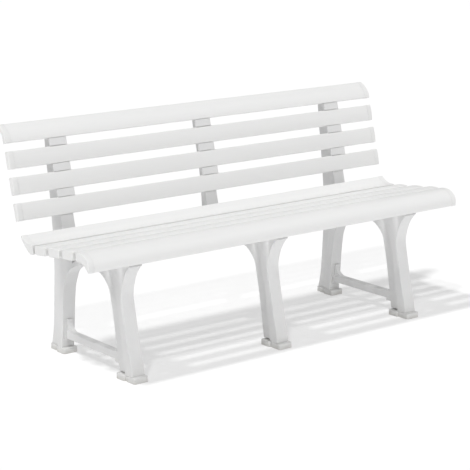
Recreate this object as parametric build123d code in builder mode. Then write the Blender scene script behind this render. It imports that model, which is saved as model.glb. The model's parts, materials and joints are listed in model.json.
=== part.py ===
"""Garden bench: moulded plastic frames carrying hollow extruded plastic slats.

Millimetres. +X runs along the bench to the sitter's left hand side as seen
from the front (the viewer's right), -Y is the front, +Z is up. The origin is
on the floor, under the middle of the bench's overall box.
"""
from build123d import *
import math
import os

os.makedirs("parts", exist_ok=True)

# ---------------------------------------------------------------- overall size
BENCH_LENGTH = 1500.0      # over the end caps
FRAME_SPACING = 565.0      # centre frame to an outer frame

# ------------------------------------------------------------- slats and caps
CAP_LENGTH = 20.0          # visible part of an end cap
CAP_PROUD = 0.5            # the cap stands this far outside the slat
CAP_EDGE = 3.8             # rounding round the outer end of a cap
NOSED_CAP_EDGE = 2.0       # the same on the wide curved slats
SPIGOT_LENGTH = 26.0       # how far a cap plugs into the slat
SPIGOT_CLEARANCE = 0.3     # spigot to slat wall, all round
SLAT_WALL = 2.8            # wall of the extruded slats
SLAT_WEB = 2.4             # inner webs of the extruded slats
SLAT_BODY = BENCH_LENGTH - 2 * CAP_LENGTH

# ------------------------------------------------------------------------ seat
SEAT_SLOPE = -6.4          # degrees, the seat falls towards the back
SEAT_REF_Y = -138.0        # under the middle of the first narrow slat
SEAT_REF_Z = 389.0         # top of the seat rail there
SEAT_PITCH = 76.5          # between narrow seat slats
SEAT_SLAT_WIDTH = 59.0
SEAT_SLAT_HEIGHT = 29.0    # to the top of the crown
SEAT_CROWN = 3.0
SEAT_SCREW_OFFSET = 29.5   # beside the legs and the rail's web

# ------------------------------------------------------------------------ back
BACK_LEAN = 14.4           # degrees from upright
BACK_REF_Y = 133.9         # front face of the lowest back slat, lower edge
BACK_REF_Z = 456.5
BACK_PITCH = 80.0
BACK_SLAT_WIDTH = 55.0
BACK_SLAT_THICKNESS = 18.0
BACK_CROWN = 2.0
BACK_GAP = BACK_PITCH - BACK_SLAT_WIDTH
TOP_SLAT_START = 3 * BACK_PITCH
POST_TOP = 266.0           # end of the posts, measured up the back

# ---------------------------------------------------------------------- frames
FLANGE_WIDTH = 47.0        # front band of legs and posts
RIB_WIDTH = 34.0           # narrower rear band of legs and posts
SEAT_FLANGE_WIDTH = 70.0   # top flange that the seat slats lie on
SEAT_FLANGE_DEPTH = 8.0
BLOCK_WIDTH = 62.0         # blocks on the posts between the back slats
BLOCK_RECESS = 1.2         # block face behind the slat face
BLOCK_CLEARANCE = 0.4      # block to slat, above and below
FRONT_JOINT_Y = -43.0      # leg to rail
REAR_JOINT_Y = 91.0        # outer rail to rear upright
CENTRE_JOINT_Y = 114.0     # centre rail to centre post
RAIL_BEAD = 16.0           # wide lower edge of the rails
EDGE_ROUND = 2.5           # moulded edges

# ----------------------------------------------------------------- rail joints
TENON_WIDTH = 16.0
TENON_HEIGHT = 32.0
TENON_LENGTH = 30.0
TENON_CLEARANCE = 0.25
FRONT_TENON_Z = 342.0      # middle of each tenon
REAR_TENON_Z = 328.0
CENTRE_TENON_Z = 334.0

# ------------------------------------------------------------------- stretcher
STRETCHER_Z = 61.0
STRETCHER_HEIGHT = 27.0
STRETCHER_WIDTH = 22.0
STRETCHER_ROUND = 4.0
STRETCHER_FRONT_Y = -126.0
STRETCHER_REAR_Y = 152.0
STRETCHER_TENON = 18.0
STRETCHER_REAR_TENON = 24.0
STRETCHER_TENON_HEIGHT = 19.0
STRETCHER_TENON_WIDTH = 12.0
SOCKET_WALL = 4.5          # front socket round the stretcher's end
GUSSET_LOW_Z = 43.0        # boss on the rear leg, behind the stretcher's gusset
GUSSET_TOP_Z = 112.0

# ------------------------------------------------------------------- foot pads
PAD_HEIGHT = 18.0
PAD_POCKET = 10.0
PAD_CLEARANCE = 0.3
PAD_CORNER = 7.0
PAD_TAPER = 1.5
PAD_CHAMFER = 1.0
LEG_FOOT_Z = PAD_HEIGHT - PAD_POCKET

# ------------------------------------------------------------------- fasteners
SCREW_R = 2.5
SCREW_HOLE_R = 2.6
SCREW_HEAD_R = 5.0
SCREW_HEAD = 3.0
SCREW_BORE_R = 5.5
SEAT_SCREW_LENGTH = 15.0
BACK_SCREW_GRIP = 8.0      # post material left in front of a back screw's head
CROSS_WIDTH = 1.2          # cross recess in every screw head
CROSS_LENGTH = 5.4
CROSS_DEPTH = 1.6
FRAME_SCREW_R = 3.0        # screws through the tenons, driven from the +X side
FRAME_SCREW_HOLE_R = 3.1
FRAME_SCREW_HEAD_R = 5.5
FRAME_SCREW_HEAD = 4.0
FRAME_SCREW_BORE_R = 6.0
FRAME_SCREW_BORE = 5.0
FRAME_SCREW_STOP = 3.0     # closed wall beyond the end of a screw's hole
FRAME_SCREW_RISE = 8.0     # screws above and below the tenon's middle

# ------------------------------------------------------------ derived geometry
seat_cos = math.cos(math.radians(SEAT_SLOPE))
seat_sin = math.sin(math.radians(SEAT_SLOPE))
back_cos = math.cos(math.radians(BACK_LEAN))
back_sin = math.sin(math.radians(BACK_LEAN))

seat_section = Plane(
    origin=(0, SEAT_REF_Y, SEAT_REF_Z),
    x_dir=(0, seat_cos, seat_sin),
    z_dir=(1, 0, 0),
)
seat_bed = Plane(
    origin=(0, SEAT_REF_Y, SEAT_REF_Z),
    x_dir=(1, 0, 0),
    z_dir=(0, -seat_sin, seat_cos),
)
back_section = Plane(
    origin=(0, BACK_REF_Y, BACK_REF_Z),
    x_dir=(0, back_sin, back_cos),
    z_dir=(1, 0, 0),
)
back_face = Plane(
    origin=(0, BACK_REF_Y, BACK_REF_Z),
    x_dir=(1, 0, 0),
    z_dir=(0, -back_cos, back_sin),
)


def side(x):
    """Plane of a frame's side view: local x is Y, local y is Z."""
    return Plane(origin=(x, 0, 0), x_dir=(0, 1, 0), z_dir=(1, 0, 0))


def seat_point(along, height):
    """Side view point from distance along the seat rail and height above it."""
    y = SEAT_REF_Y + along * seat_cos - height * seat_sin
    z = SEAT_REF_Z + along * seat_sin + height * seat_cos
    return (y, z)


def rail_top(y, drop=0.0):
    """Side view point on the seat rail's top, or drop below it."""
    z = SEAT_REF_Z + (y - SEAT_REF_Y) * seat_sin / seat_cos - drop
    return (y, z)


def back_point(up, forward):
    """Side view point from distance up the back and forward of its face."""
    y = BACK_REF_Y + up * back_sin - forward * back_cos
    z = BACK_REF_Z + up * back_cos + forward * back_sin
    return (y, z)


# ------------------------------------------------------------- slat cross-sections
# Local x runs across the slat and local y towards its outer side.

front_tip = (-105.5, -33.0)
front_brow = (-97.5, 10.0)
front_shelf = (-66.0, 25.5)
front_rear = [(-46.0, 27.0), (-46.0, 0.0), (-64.0, 0.0)]
rear_front = [(194.5, 29.0), (194.5, 0.0), (210.0, 0.0)]
rear_wing = [(257.5, 48.5), (253.0, 56.0)]
top_brow = (284.0, -15.2)
top_crest = (301.5, -34.0)
top_rear = [(298.5, -42.5), (289.0, -35.5), (268.0, -BACK_SLAT_THICKNESS),
            (TOP_SLAT_START, -BACK_SLAT_THICKNESS)]


def narrow_profile(low, width, thickness, crown, middle, inner_round, outer_round):
    """Slat with a crowned outer face: low is the local y of its inner face."""
    shoulder = low + thickness - crown
    with BuildSketch() as profile:
        with BuildLine():
            Polyline(
                (middle - width / 2, shoulder), (middle - width / 2, low),
                (middle + width / 2, low), (middle + width / 2, shoulder),
            )
            ThreePointArc(
                (middle - width / 2, shoulder), (middle, low + thickness),
                (middle + width / 2, shoulder),
            )
        make_face()
        fillet(profile.vertices().group_by(Axis.Y)[0], inner_round)
        fillet(profile.vertices().group_by(Axis.Y)[-1], outer_round)
    return profile.sketch


def at_points(vertices, points):
    """The vertices that lie on the given points."""
    return [v for v in vertices if any(math.dist((v.X, v.Y), p) < 0.01 for p in points)]


def front_profile():
    """Front seat slat: flat bed at the back, round nose with a hanging lip."""
    with BuildSketch() as profile:
        with BuildLine():
            face = ThreePointArc(front_tip, (-108.2, -11.0), front_brow)
            TangentArc(face @ 1, front_shelf, tangent=face % 1)
            Polyline(front_shelf, *front_rear)
            ThreePointArc(front_rear[-1], (-86.0, -11.0), front_tip)
        make_face()
        fillet(at_points(profile.vertices(), front_rear[:2]), 2.5)
        fillet(at_points(profile.vertices(), [front_tip]), 1.2)
    return profile.sketch


def rear_profile():
    """Rear seat slat: dished top that sweeps up towards the back."""
    with BuildSketch() as profile:
        with BuildLine():
            Polyline(*rear_front)
            ThreePointArc(rear_front[-1], (234.0, 19.5), rear_wing[0])
            Line(rear_wing[0], rear_wing[1])
            ThreePointArc(rear_wing[1], (226.0, 34.5), rear_front[0])
        make_face()
        fillet(at_points(profile.vertices(), rear_front[:2] + rear_wing), 2.3)
    return profile.sketch


def top_profile():
    """Top back slat: starts in the plane of the back and rolls over to a crest."""
    with BuildSketch() as profile:
        with BuildLine():
            face = ThreePointArc((TOP_SLAT_START, 0.0), (263.0, -3.6), top_brow)
            TangentArc(face @ 1, top_crest, tangent=face % 1)
            Polyline(top_crest, *top_rear, (TOP_SLAT_START, 0.0))
        make_face()
        fillet(at_points(profile.vertices(), [(TOP_SLAT_START, 0.0), top_rear[-1]]), 2.5)
        fillet(at_points(profile.vertices(), [top_crest, top_rear[0]]), 2.3)
    return profile.sketch


def seat_profile(index):
    return narrow_profile(0.0, SEAT_SLAT_WIDTH, SEAT_SLAT_HEIGHT, SEAT_CROWN,
                          index * SEAT_PITCH, 9.0, 4.0)


def back_profile(index):
    middle = index * BACK_PITCH + BACK_SLAT_WIDTH / 2
    return narrow_profile(-BACK_SLAT_THICKNESS, BACK_SLAT_WIDTH, BACK_SLAT_THICKNESS,
                          BACK_CROWN, middle, 3.0, 3.5)


# name, section plane, profile, web positions, bed plane, screw position
slats = [
    ("front_seat_slat", seat_section, front_profile(),
     (-88.0, -66.0), seat_bed, -54.5),
    ("seat_slat_1", seat_section, seat_profile(0), (-10.0, 10.0), seat_bed, 0.0),
    ("seat_slat_2", seat_section, seat_profile(1), (66.5, 86.5), seat_bed, SEAT_PITCH),
    ("seat_slat_3", seat_section, seat_profile(2), (143.0, 163.0), seat_bed, 2 * SEAT_PITCH),
    ("rear_seat_slat", seat_section, rear_profile(),
     (218.0, 236.0), seat_bed, 202.0),
    ("back_slat_1", back_section, back_profile(2), (177.5, 197.5), back_face, 187.5),
    ("back_slat_2", back_section, back_profile(1), (97.5, 117.5), back_face, 107.5),
    ("back_slat_3", back_section, back_profile(0), (17.5, 37.5), back_face, 27.5),
    ("top_back_slat", back_section, top_profile(),
     (262.0, 280.0), back_face, 252.0),
]

wide_slats = ("front_seat_slat", "rear_seat_slat", "top_back_slat")

frame_places = {"left": -FRAME_SPACING, "centre": 0.0, "right": FRAME_SPACING}


def screw_places(bed, across):
    """Screw positions of one slat in its bed plane, one for each frame."""
    offset = SEAT_SCREW_OFFSET if bed is seat_bed else 0.0
    return [(x + offset, across) for x in frame_places.values()]


for name, section, profile, webs, bed, across in slats:
    with BuildPart() as slat:
        with BuildSketch(section) as outer:
            add(profile)
        extrude(amount=SLAT_BODY / 2, both=True)
        with BuildSketch(section) as hollow:
            add(profile)
            offset(amount=-SLAT_WALL, kind=Kind.INTERSECTION, mode=Mode.REPLACE)
            for place in webs:
                with Locations((place, 0)):
                    Rectangle(SLAT_WEB, 200, mode=Mode.SUBTRACT)
        extrude(amount=SLAT_BODY / 2, both=True, mode=Mode.SUBTRACT)
        base = 0.0 if bed is seat_bed else -BACK_SLAT_THICKNESS
        with BuildSketch(bed.offset(base - 1)):
            with Locations(*screw_places(bed, across)):
                Circle(SCREW_HOLE_R)
        extrude(amount=SLAT_WALL + 3, mode=Mode.SUBTRACT)
    slat.part.label = name
    export_step(slat.part, f"parts/{name}.step")
    for hand, sign in (("left", -1), ("right", 1)):
        seam = section.offset(sign * SLAT_BODY / 2)
        with BuildPart() as cap:
            with BuildSketch(seam) as body:
                add(profile)
                offset(amount=CAP_PROUD, mode=Mode.REPLACE)
            extrude(amount=sign * CAP_LENGTH)
            ends = cap.faces().sort_by(Axis.X)
            end = ends[0] if sign < 0 else ends[-1]
            fillet(end.edges(), NOSED_CAP_EDGE if name in wide_slats else CAP_EDGE)
            with BuildSketch(seam) as spigot:
                add(profile)
                offset(amount=-SLAT_WALL - SPIGOT_CLEARANCE, kind=Kind.INTERSECTION,
                       mode=Mode.REPLACE)
                for place in webs:
                    with Locations((place, 0)):
                        Rectangle(SLAT_WEB + 2 * SPIGOT_CLEARANCE, 200, mode=Mode.SUBTRACT)
            extrude(amount=-sign * SPIGOT_LENGTH)
        cap.part.label = f"{name}_cap_{hand}"
        export_step(cap.part, f"parts/{name}_cap_{hand}.step")


# ------------------------------------------------------------- frame outlines
# Side view points, (Y, Z).
leg_face = [
    (-227, 18), (-217, 70), (-205, 115), (-195, 160), (-186, 200), (-178, 240),
    (-176, 265), (-181, 290), (-191, 318), (-203, 338), (-221, 357),
]
leg_step = [
    (FRONT_JOINT_Y, 364), (-66, 358), (-89, 343), (-111, 318), (-127, 295), (-139, 270),
    (-148, 244), (-157, 207), (-165, 155), (-173, 120), (-182, 62), (-189, 18),
]
leg_back = [
    (FRONT_JOINT_Y, 308.5), (-65, 302), (-78, 293), (-92, 280), (-101, 268), (-110, 240),
    (-118, 208), (-128, 160), (-137, 110), (-145, 62), (-152, PAD_HEIGHT + 4),
]
leg_core = [
    leg_back[-1], (-194, PAD_HEIGHT + 4), (-201, 70), (-189, 120), (-171, 200),
    (-159, 300), (-179, 350), rail_top(-179), rail_top(FRONT_JOINT_Y), leg_back[0],
]
leg_foot = [(-189, 18), (-189, LEG_FOOT_Z), (-227, LEG_FOOT_Z), (-227, 18)]
leg_ledge = [(-221, 357), (-218, 361), (-195, 363), rail_top(-195)]

arch = [
    (FRONT_JOINT_Y, 308.5), (-18, 314), (7, 316.5), (32, 315), (57, 309), (77, 301),
    (REAR_JOINT_Y, 293),
]
centre_arch = [
    (FRONT_JOINT_Y, 308.5), (-9, 316), (36, 319), (76, 317), (CENTRE_JOINT_Y, 314),
]

upright_face = [
    (161, 18), (158, 60), (155, 86), (151, 140), (144, 204), (138, 231), (129, 252),
    (120, 270), (107, 283), (REAR_JOINT_Y, 293),
]
upright_step = [
    back_point(POST_TOP, -40), back_point(100, -41), back_point(0, -42), (164, 400),
    (162, 350), (163, 300), (167, 240), (172, 204), (179, 140), (183, 86), (186, 60),
    (189, 18),
]
upright_back = [
    back_point(POST_TOP, -50), (244, 680), (239, 630), (231, 575), (220, 493), (213, 430),
    (209, 392), (206, 340), (204.5, 296), (205, 250), (210, 163), (219, 62), (229, 18),
]
upright_foot = [(229, 18), (229, LEG_FOOT_Z), (161, LEG_FOOT_Z), (161, 18)]
upright_toe = [(189, 18), (189, LEG_FOOT_Z), (161, LEG_FOOT_Z), (161, 18)]

post_foot = back_point(-96, -BACK_SLAT_THICKNESS)
post_head = back_point(POST_TOP, -BACK_SLAT_THICKNESS)
centre_step = [
    back_point(POST_TOP, -27), back_point(150, -28), back_point(40, -31),
    back_point(-40, -36), (158, 350), (153, 312),
]
centre_back = [
    back_point(POST_TOP, -29), back_point(150, -32), back_point(60, -41),
    back_point(-20, -52), (173, 356), (161, 312),
]


def screw_pair(y, z, half_width):
    """Two frame screws, above and below the middle of a tenon."""
    return [(y, z - FRAME_SCREW_RISE, half_width), (y, z + FRAME_SCREW_RISE, half_width)]


socket_half = STRETCHER_WIDTH / 2 + SOCKET_WALL
front_pair = screw_pair(FRONT_JOINT_Y - TENON_LENGTH / 2, FRONT_TENON_Z, RIB_WIDTH / 2)
rear_pair = screw_pair(REAR_JOINT_Y + TENON_LENGTH / 2, REAR_TENON_Z, FLANGE_WIDTH / 2)
centre_pair = screw_pair(CENTRE_JOINT_Y + TENON_LENGTH / 2, CENTRE_TENON_Z, FLANGE_WIDTH / 2)
stretcher_pair = [
    (STRETCHER_FRONT_Y - STRETCHER_TENON / 2, STRETCHER_Z, socket_half),
    (STRETCHER_REAR_Y + STRETCHER_REAR_TENON - 7, STRETCHER_Z, FLANGE_WIDTH / 2),
]
frame_screw_places = {
    "left": front_pair + rear_pair + stretcher_pair,
    "centre": front_pair + centre_pair,
    "right": front_pair + rear_pair + stretcher_pair,
}

seat_screw_rows = [slat[5] for slat in slats if slat[4] is seat_bed]
back_screw_rows = [slat[5] for slat in slats if slat[4] is back_face]
head_seat = back_face.offset(-BACK_SLAT_THICKNESS - BACK_SCREW_GRIP)
flange_plane = seat_bed.offset(-SEAT_FLANGE_DEPTH)


def side_box(y0, y1, z0, z1):
    """Side view rectangle."""
    with BuildSketch() as sheet:
        with Locations(((y0 + y1) / 2, (z0 + z1) / 2)):
            Rectangle(y1 - y0, z1 - z0)
    return sheet.sketch


def tenon_box(joint, length, middle, height, clearance=0.0):
    """Side view of a tenon that starts at a joint, or of its mortise with clearance."""
    reach = length + math.copysign(clearance, length)
    return side_box(min(joint, joint + reach), max(joint, joint + reach),
                    middle - height / 2 - clearance, middle + height / 2 + clearance)


def flange_strip(x, y0, y1):
    """Plan of the flange under the seat slats between two Y values."""
    start = (y0 - SEAT_REF_Y) / seat_cos
    end = (y1 - SEAT_REF_Y) / seat_cos
    with BuildSketch() as sheet:
        with Locations((x, (start + end) / 2)):
            Rectangle(SEAT_FLANGE_WIDTH, end - start)
    return sheet.sketch


# One body of screw bores per frame, cut from every piece of that frame.
frame_bores = {}
for hand, x in frame_places.items():
    with BuildPart() as bores:
        for y, z, half in frame_screw_places[hand]:
            with BuildSketch(side(x + half + 10)):
                with Locations((y, z)):
                    Circle(FRAME_SCREW_BORE_R)
            extrude(amount=-10 - FRAME_SCREW_BORE)
            with BuildSketch(side(x + half)):
                with Locations((y, z)):
                    Circle(FRAME_SCREW_HOLE_R)
            extrude(amount=FRAME_SCREW_STOP - 2 * half)
        with BuildSketch(flange_plane.offset(-1)):
            with Locations(*[(x + SEAT_SCREW_OFFSET, row) for row in seat_screw_rows]):
                Circle(SCREW_HOLE_R)
        extrude(amount=SEAT_FLANGE_DEPTH + 2)
        with BuildSketch(head_seat):
            with Locations(*[(x, row) for row in back_screw_rows]):
                Circle(SCREW_HOLE_R)
        extrude(amount=BACK_SCREW_GRIP + 1)
        with BuildSketch(head_seat):
            with Locations(*[(x, row) for row in back_screw_rows]):
                Circle(SCREW_BORE_R)
        extrude(amount=-60)
    frame_bores[hand] = bores.part


# ------------------------------------------------------------------ front legs
for hand, x in frame_places.items():
    with BuildPart() as leg:
        with BuildSketch(side(x)) as band:
            with BuildLine():
                Polyline(*leg_foot)
                Spline(*leg_face)
                Polyline(*leg_ledge, rail_top(FRONT_JOINT_Y), leg_step[0])
                Spline(*leg_step)
            make_face()
        extrude(amount=FLANGE_WIDTH / 2, both=True)
        fillet(leg.faces().filter_by(Axis.X).edges().filter_by(GeomType.BSPLINE), EDGE_ROUND)
        with BuildSketch(side(x)) as rib:
            with BuildLine():
                Polyline(*leg_core)
                Spline(*leg_back)
            make_face()
        extrude(amount=RIB_WIDTH / 2, both=True)
        with BuildSketch(flange_plane) as flange:
            add(flange_strip(x, -200.5, FRONT_JOINT_Y))
        extrude(amount=SEAT_FLANGE_DEPTH)
        with BuildSketch(side(x)) as beyond_joint:
            add(side_box(FRONT_JOINT_Y, FRONT_JOINT_Y + 20, 340, 400))
        extrude(amount=SEAT_FLANGE_WIDTH, both=True, mode=Mode.SUBTRACT)
        if hand != "centre":
            with BuildSketch(side(x)) as socket:
                add(side_box(-159, STRETCHER_FRONT_Y,
                             STRETCHER_Z - STRETCHER_HEIGHT / 2 - SOCKET_WALL,
                             STRETCHER_Z + STRETCHER_HEIGHT / 2 + SOCKET_WALL))
            extrude(amount=socket_half, both=True)
            with BuildSketch(side(x)) as stretcher_mortise:
                add(tenon_box(STRETCHER_FRONT_Y, -STRETCHER_TENON, STRETCHER_Z,
                              STRETCHER_TENON_HEIGHT, TENON_CLEARANCE))
            extrude(amount=STRETCHER_TENON_WIDTH / 2 + TENON_CLEARANCE, both=True,
                    mode=Mode.SUBTRACT)
        with BuildSketch(side(x)) as mortise:
            add(tenon_box(FRONT_JOINT_Y, -TENON_LENGTH, FRONT_TENON_Z, TENON_HEIGHT,
                          TENON_CLEARANCE))
        extrude(amount=TENON_WIDTH / 2 + TENON_CLEARANCE, both=True, mode=Mode.SUBTRACT)
        add(frame_bores[hand], mode=Mode.SUBTRACT)
    leg.part.label = f"{hand}_front_leg"
    export_step(leg.part, f"parts/{hand}_front_leg.step")


# ------------------------------------------------------------------ seat rails
for hand, x in frame_places.items():
    centre = hand == "centre"
    rear_y = CENTRE_JOINT_Y if centre else REAR_JOINT_Y
    tenon_z = CENTRE_TENON_Z if centre else REAR_TENON_Z
    lower = centre_arch if centre else arch
    with BuildPart() as rail:
        with BuildSketch(side(x)) as web:
            with BuildLine():
                Spline(*lower)
                Polyline(lower[-1], rail_top(rear_y), rail_top(FRONT_JOINT_Y), lower[0])
            make_face()
        extrude(amount=RIB_WIDTH / 2, both=True)
        with BuildSketch(side(x)) as bead:
            with BuildLine():
                Spline(*lower)
                Line(lower[-1], (rear_y, lower[-1][1] + RAIL_BEAD))
                Spline(*[(y, z + RAIL_BEAD) for y, z in reversed(lower)])
                Line((FRONT_JOINT_Y, lower[0][1] + RAIL_BEAD), lower[0])
            make_face()
        extrude(amount=FLANGE_WIDTH / 2, both=True)
        with BuildSketch(side(x)) as band:
            with BuildLine():
                Polyline(rail_top(FRONT_JOINT_Y, 14.4), rail_top(rear_y, 14.4),
                         rail_top(rear_y), rail_top(FRONT_JOINT_Y), close=True)
            make_face()
        extrude(amount=FLANGE_WIDTH / 2, both=True)
        with BuildSketch(flange_plane) as flange:
            add(flange_strip(x, FRONT_JOINT_Y + 2, REAR_JOINT_Y - 1))
        extrude(amount=SEAT_FLANGE_DEPTH)
        with BuildSketch(side(x)) as tenons:
            add(tenon_box(FRONT_JOINT_Y, -TENON_LENGTH, FRONT_TENON_Z, TENON_HEIGHT))
            add(tenon_box(rear_y, TENON_LENGTH, tenon_z, TENON_HEIGHT))
        extrude(amount=TENON_WIDTH / 2, both=True)
        add(frame_bores[hand], mode=Mode.SUBTRACT)
    rail.part.label = f"{hand}_seat_rail"
    export_step(rail.part, f"parts/{hand}_seat_rail.step")


# --------------------------------------------------------------- rear uprights
for hand in ("left", "right"):
    x = frame_places[hand]
    with BuildPart() as upright:
        with BuildSketch(side(x)) as band:
            with BuildLine():
                Polyline(*upright_toe)
                Spline(*upright_face)
                Polyline(upright_face[-1], rail_top(REAR_JOINT_Y), post_foot, post_head,
                         upright_step[0])
                Spline(*upright_step)
            make_face()
        extrude(amount=FLANGE_WIDTH / 2, both=True)
        fillet(upright.faces().filter_by(Axis.X).edges().filter_by(GeomType.BSPLINE),
               EDGE_ROUND)
        with BuildSketch(side(x)) as rib:
            with BuildLine():
                Polyline(*upright_foot)
                Spline(*upright_face)
                Polyline(upright_face[-1], rail_top(REAR_JOINT_Y), post_foot, post_head,
                         upright_back[0])
                Spline(*upright_back)
            make_face()
        extrude(amount=RIB_WIDTH / 2, both=True)
        for gap in range(3):
            low = gap * BACK_PITCH + BACK_SLAT_WIDTH + BLOCK_CLEARANCE
            high = (gap + 1) * BACK_PITCH - BLOCK_CLEARANCE
            with BuildSketch(back_face.offset(-BACK_SLAT_THICKNESS)) as block:
                with Locations((x, (low + high) / 2)):
                    Rectangle(BLOCK_WIDTH, high - low)
            extrude(amount=BACK_SLAT_THICKNESS - BLOCK_RECESS)
        with BuildSketch(side(x)) as boss:
            add(side_box(STRETCHER_REAR_Y, 171, GUSSET_LOW_Z, GUSSET_TOP_Z))
        extrude(amount=socket_half, both=True)
        with BuildSketch(side(x)) as stretcher_mortise:
            add(tenon_box(STRETCHER_REAR_Y, STRETCHER_REAR_TENON, STRETCHER_Z,
                          STRETCHER_TENON_HEIGHT, TENON_CLEARANCE))
        extrude(amount=STRETCHER_TENON_WIDTH / 2 + TENON_CLEARANCE, both=True,
                mode=Mode.SUBTRACT)
        with BuildSketch(side(x)) as mortise:
            add(tenon_box(REAR_JOINT_Y, TENON_LENGTH, REAR_TENON_Z, TENON_HEIGHT,
                          TENON_CLEARANCE))
        extrude(amount=TENON_WIDTH / 2 + TENON_CLEARANCE, both=True, mode=Mode.SUBTRACT)
        add(frame_bores[hand], mode=Mode.SUBTRACT)
    upright.part.label = f"{hand}_rear_upright"
    export_step(upright.part, f"parts/{hand}_rear_upright.step")


# ----------------------------------------------------------- centre back post
with BuildPart() as post:
    with BuildSketch(side(0)) as band:
        with BuildLine():
            Polyline(centre_step[-1], (CENTRE_JOINT_Y, 314), rail_top(CENTRE_JOINT_Y), post_foot,
                     post_head, centre_step[0])
            Spline(*centre_step)
        make_face()
    extrude(amount=FLANGE_WIDTH / 2, both=True)
    with BuildSketch(side(0)) as rib:
        with BuildLine():
            Polyline(centre_back[-1], (CENTRE_JOINT_Y, 314), rail_top(CENTRE_JOINT_Y), post_foot,
                     post_head, centre_back[0])
            Spline(*centre_back)
        make_face()
    extrude(amount=RIB_WIDTH / 2, both=True)
    for gap in range(3):
        low = gap * BACK_PITCH + BACK_SLAT_WIDTH + BLOCK_CLEARANCE
        high = (gap + 1) * BACK_PITCH - BLOCK_CLEARANCE
        with BuildSketch(back_face.offset(-BACK_SLAT_THICKNESS)) as block:
            with Locations((0, (low + high) / 2)):
                Rectangle(BLOCK_WIDTH, high - low)
        extrude(amount=BACK_SLAT_THICKNESS - BLOCK_RECESS)
    with BuildSketch(side(0)) as mortise:
        add(tenon_box(CENTRE_JOINT_Y, TENON_LENGTH, CENTRE_TENON_Z, TENON_HEIGHT,
                      TENON_CLEARANCE))
    extrude(amount=TENON_WIDTH / 2 + TENON_CLEARANCE, both=True, mode=Mode.SUBTRACT)
    add(frame_bores["centre"], mode=Mode.SUBTRACT)
post.part.label = "centre_back_post"
export_step(post.part, "parts/centre_back_post.step")


# ------------------------------------------------------------------ stretchers
for hand in ("left", "right"):
    x = frame_places[hand]
    with BuildPart() as stretcher:
        with BuildSketch(Plane.XZ.offset(-STRETCHER_FRONT_Y)) as section:
            with Locations((x, STRETCHER_Z)):
                RectangleRounded(STRETCHER_WIDTH, STRETCHER_HEIGHT, STRETCHER_ROUND)
        extrude(amount=STRETCHER_FRONT_Y - STRETCHER_REAR_Y)
        with BuildSketch(side(x)) as gusset:
            with BuildLine():
                Polyline((STRETCHER_REAR_Y - 42, STRETCHER_Z), (STRETCHER_REAR_Y, STRETCHER_Z),
                         (STRETCHER_REAR_Y, GUSSET_TOP_Z), (STRETCHER_REAR_Y - 6, GUSSET_TOP_Z))
                ThreePointArc((STRETCHER_REAR_Y - 6, GUSSET_TOP_Z), (STRETCHER_REAR_Y - 15, 86),
                              (STRETCHER_REAR_Y - 42, STRETCHER_Z + STRETCHER_HEIGHT / 2))
                Line((STRETCHER_REAR_Y - 42, STRETCHER_Z + STRETCHER_HEIGHT / 2),
                     (STRETCHER_REAR_Y - 42, STRETCHER_Z))
            make_face()
        extrude(amount=STRETCHER_WIDTH / 2 - 3, both=True)
        with BuildSketch(side(x)) as tenons:
            add(tenon_box(STRETCHER_FRONT_Y, -STRETCHER_TENON, STRETCHER_Z,
                          STRETCHER_TENON_HEIGHT))
            add(tenon_box(STRETCHER_REAR_Y, STRETCHER_REAR_TENON, STRETCHER_Z,
                          STRETCHER_TENON_HEIGHT))
        extrude(amount=STRETCHER_TENON_WIDTH / 2, both=True)
        add(frame_bores[hand], mode=Mode.SUBTRACT)
    stretcher.part.label = f"{hand}_stretcher"
    export_step(stretcher.part, f"parts/{hand}_stretcher.step")


# ------------------------------------------------------------------- foot pads
# lobes as (start, length, width), waist width, pocket pieces as (start, end, width)
front_pad = ([(-243, 43, 53), (-196, 45, 62)], 50, [(-227, -189, FLANGE_WIDTH)])
rear_pad = ([(145, 47, 53), (196, 37, 44)], 40,
            [(161, 189, FLANGE_WIDTH), (181, 229, RIB_WIDTH)])
pads = [
    ("left_front_foot_pad", "left", front_pad),
    ("centre_front_foot_pad", "centre", front_pad),
    ("right_front_foot_pad", "right", front_pad),
    ("left_rear_foot_pad", "left", rear_pad),
    ("right_rear_foot_pad", "right", rear_pad),
]
for name, hand, (lobes, waist_width, pocket) in pads:
    x = frame_places[hand]
    with BuildPart() as pad:
        for y0, length, width in lobes:
            with BuildSketch() as lobe:
                with Locations((x, y0 + length / 2)):
                    RectangleRounded(width, length, PAD_CORNER)
            extrude(amount=PAD_HEIGHT, taper=PAD_TAPER)
        chamfer(pad.faces().filter_by(Axis.Z).group_by(Axis.Z)[-1].edges(), PAD_CHAMFER)
        waist_start = lobes[0][0] + lobes[0][1] / 2
        waist_end = lobes[1][0] + lobes[1][1] / 2
        with BuildSketch() as waist:
            with Locations((x, (waist_start + waist_end) / 2)):
                Rectangle(waist_width, waist_end - waist_start)
        extrude(amount=PAD_HEIGHT - 2)
        with BuildSketch(Plane.XY.offset(PAD_HEIGHT)) as recess:
            for y0, y1, across in pocket:
                with Locations((x, (y0 + y1) / 2)):
                    Rectangle(across + 2 * PAD_CLEARANCE, y1 - y0 + 2 * PAD_CLEARANCE)
        extrude(amount=-PAD_POCKET, mode=Mode.SUBTRACT)
    pad.part.label = name
    export_step(pad.part, f"parts/{name}.step")


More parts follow.
